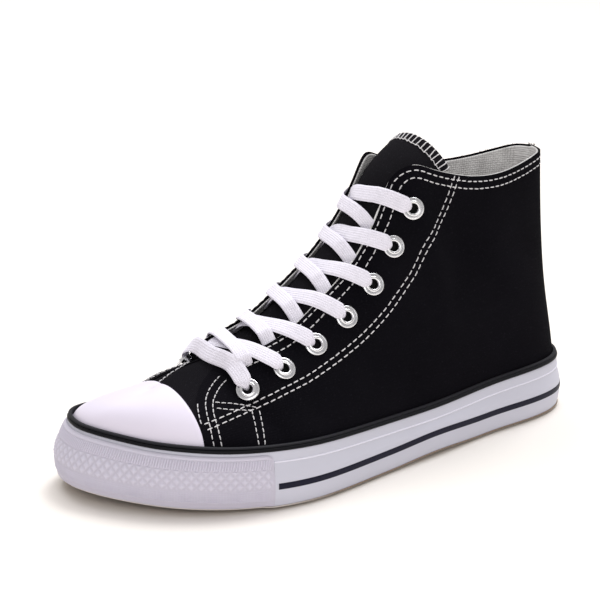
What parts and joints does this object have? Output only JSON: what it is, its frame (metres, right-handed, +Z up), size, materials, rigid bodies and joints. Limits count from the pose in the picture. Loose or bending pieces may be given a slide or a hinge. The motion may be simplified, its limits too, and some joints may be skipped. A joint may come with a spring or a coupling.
{
  "type": "canvas sneaker",
  "caption": "High-top canvas sneaker for a left foot, with rubber toe cap, white foxing, cotton lace and an open collar",
  "frame": {"origin": "on the floor under the middle of the shoe's length and width", "axes": "+X towards the toe, +Y towards the outer side of the left foot, +Z up"},
  "size_m": [0.2676, 0.1008, 0.1428],
  "materials": {
    "gum_rubber": "matte tan gum rubber",
    "white_rubber": "matte cool-white rubber",
    "cap_rubber": "smooth white rubber, slight sheen",
    "black_rubber": "satin black rubber strip",
    "black_canvas": "black cotton canvas with a pale lining",
    "tongue_canvas": "black cotton canvas",
    "insole_cloth": "pale grey cloth over sponge",
    "eyelet_metal": "bright plated metal",
    "lace_cotton": "flat woven white cotton"
  },
  "bodies": {
    "root": {"outsole": "gum_rubber", "foxing": "white_rubber", "toe_bumper": "white_rubber", "piping": "black_rubber", "upper": "black_canvas", "toe_cap": "cap_rubber", "insole": "insole_cloth", "tongue": "tongue_canvas", "eyelet_lateral_1": "eyelet_metal", "eyelet_lateral_2": "eyelet_metal", "eyelet_lateral_3": "eyelet_metal", "eyelet_lateral_4": "eyelet_metal", "eyelet_lateral_5": "eyelet_metal", "eyelet_lateral_6": "eyelet_metal", "eyelet_lateral_7": "eyelet_metal", "eyelet_medial_1": "eyelet_metal", "eyelet_medial_2": "eyelet_metal", "eyelet_medial_3": "eyelet_metal", "eyelet_medial_4": "eyelet_metal", "eyelet_medial_5": "eyelet_metal", "eyelet_medial_6": "eyelet_metal", "eyelet_medial_7": "eyelet_metal", "lace_bar": "lace_cotton", "lace_cross_1": "lace_cotton", "lace_cross_2": "lace_cotton", "lace_cross_3": "lace_cotton", "lace_cross_4": "lace_cotton", "lace_cross_5": "lace_cotton", "lace_cross_6": "lace_cotton"}
  },
  "joints": []
}
